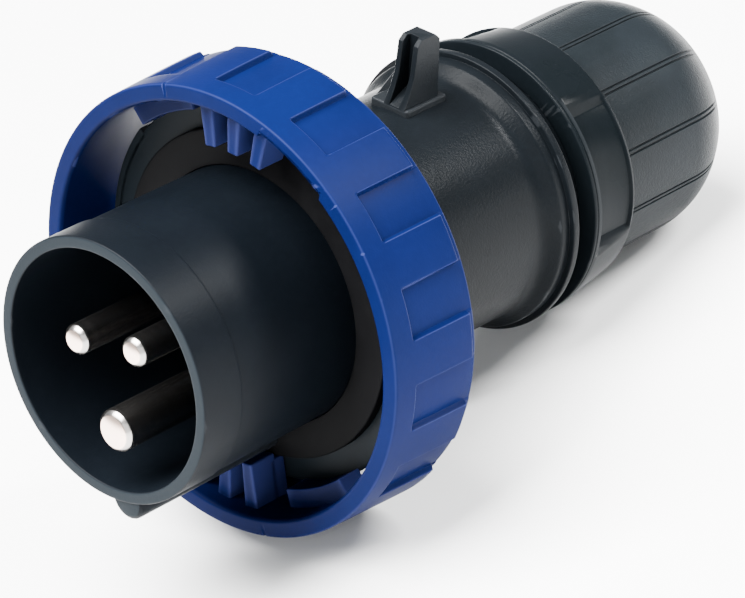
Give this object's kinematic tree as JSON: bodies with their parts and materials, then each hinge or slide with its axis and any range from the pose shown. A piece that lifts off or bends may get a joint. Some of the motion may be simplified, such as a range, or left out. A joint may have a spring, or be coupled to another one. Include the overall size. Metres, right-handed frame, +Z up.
{
  "type": "industrial pin and sleeve plug",
  "caption": "Industrial pin and sleeve plug with a round shroud round its contact pins, a bayonet locking ring with grip recesses, a plain body and a domed cable gland nut.",
  "frame": {"origin": "middle of the underside of the lying plug's bounding box", "axes": "+X towards the cable end, level with the table; +Z up; the plug's own axis falls by 12.4 degrees towards +X"},
  "size_m": [0.1372, 0.0772, 0.0787],
  "materials": {
    "shroud_plastic": "moulded, satin",
    "ring_plastic": "moulded, semi-gloss",
    "housing_plastic": "moulded, fine matte",
    "nut_plastic": "moulded, fine grain",
    "gasket_rubber": "matte",
    "seal_rubber": "matte",
    "contact_metal": "nickel plated, satin",
    "screw_steel": "zinc plated",
    "inner_plastic": "moulded"
  },
  "bodies": {
    "plug_body": {"shroud_carrier": "shroud_plastic", "face_gasket": "gasket_rubber", "body_housing": "housing_plastic", "body_seal": "seal_rubber", "terminal_cover": "inner_plastic", "cover_screw": "screw_steel", "fixing_screws": "screw_steel", "phase_pin": "contact_metal", "neutral_pin": "contact_metal", "earth_pin": "contact_metal", "phase_terminal_screw": "screw_steel", "neutral_terminal_screw": "screw_steel", "earth_terminal_screw": "screw_steel", "phase_wire_guard": "screw_steel", "neutral_wire_guard": "screw_steel", "earth_wire_guard": "screw_steel"},
    "locking_ring": {"locking_ring": "ring_plastic"},
    "cable_clamp": {"gland_seal": "seal_rubber", "thrust_washer": "inner_plastic", "clamping_cage": "inner_plastic"},
    "collar": {"coupling_collar": "nut_plastic"},
    "slip_ring": {"slip_ring": "inner_plastic"},
    "gland_nut": {"gland_nut": "nut_plastic"}
  },
  "joints": [
    {"name": "ring_turn", "type": "hinge", "parent": "plug_body", "child": "locking_ring", "pos_m": [-0.03072, 0, 0.03911], "axis": [0.9766, 0, -0.2149], "range_deg": [0, 45]},
    {"name": "collar_travel", "type": "slide", "parent": "plug_body", "child": "cable_clamp", "axis": [0.9766, 0, -0.2149], "range_m": [0, 0.006]},
    {"name": "collar_turn", "type": "hinge", "parent": "cable_clamp", "child": "collar", "pos_m": [0.02886, 0, 0.026], "axis": [0.9766, 0, -0.2149], "range_deg": [0, 1080]},
    {"name": "nut_travel", "type": "slide", "parent": "collar", "child": "slip_ring", "axis": [0.9766, 0, -0.2149], "range_m": [0, 0.01]},
    {"name": "nut_turn", "type": "hinge", "parent": "slip_ring", "child": "gland_nut", "pos_m": [0.04839, 0, 0.02171], "axis": [0.9766, 0, -0.2149], "range_deg": [0, 1800]}
  ],
  "couplings": [
    {"joint": "collar_travel", "follows": "collar_turn", "m_per_rad": 0.0003183},
    {"joint": "nut_travel", "follows": "nut_turn", "m_per_rad": 0.0003183}
  ]
}
